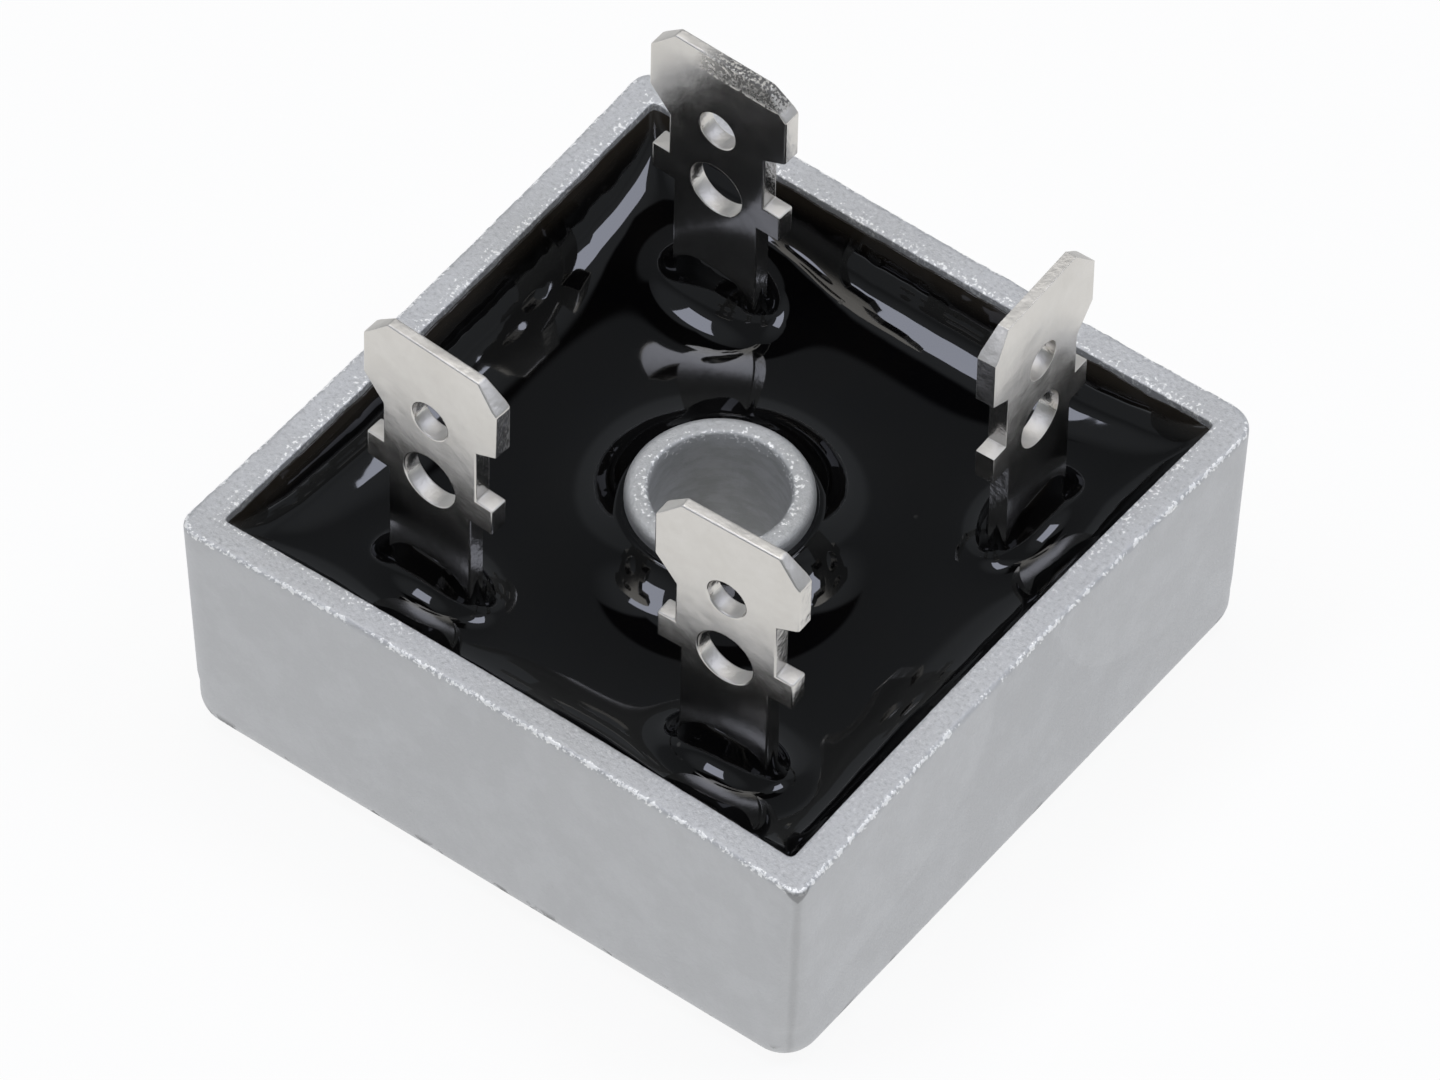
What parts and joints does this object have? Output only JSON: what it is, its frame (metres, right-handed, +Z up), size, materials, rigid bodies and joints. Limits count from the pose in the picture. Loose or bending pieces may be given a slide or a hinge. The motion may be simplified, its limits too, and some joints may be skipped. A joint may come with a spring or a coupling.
{
  "type": "bridge rectifier",
  "caption": "Square metal-cased bridge rectifier, filled with black resin, with a central screw hole and push-on blade terminals.",
  "frame": {"origin": "axis of the mounting hole, on the plane of the base", "axes": "+Z up through the mounting hole, out of the open side of the case; the plus terminal stands at +X +Y, the minus terminal at -X -Y"},
  "size_m": [0.0286, 0.0286, 0.0212],
  "materials": {
    "case_aluminium": "satin, fine tumbled grain",
    "black_resin": "glossy cured resin",
    "plated_terminal": "bright tin plate over brass",
    "copper_plate": "bare copper",
    "ceramic": "fired alumina",
    "silicon": "polished silicon",
    "solder": "reflowed solder"
  },
  "bodies": {
    "root": {"case": "case_aluminium", "insulating_plate": "ceramic", "potting": "black_resin", "terminal_plus": "plated_terminal", "terminal_minus": "plated_terminal", "terminal_ac_1": "plated_terminal", "terminal_ac_2": "plated_terminal", "plate_plus": "copper_plate", "plate_minus": "copper_plate", "plate_ac_1": "copper_plate", "plate_ac_2": "copper_plate", "chip_1": "silicon", "chip_2": "silicon", "chip_3": "silicon", "chip_4": "silicon", "solder_under_chip_1": "solder", "solder_under_chip_2": "solder", "solder_under_chip_3": "solder", "solder_under_chip_4": "solder", "solder_over_chip_1": "solder", "solder_over_chip_2": "solder", "solder_over_chip_3": "solder", "solder_over_chip_4": "solder", "solder_foot_plus": "solder", "solder_foot_minus": "solder", "solder_foot_ac_1": "solder", "solder_foot_ac_2": "solder"}
  },
  "joints": []
}
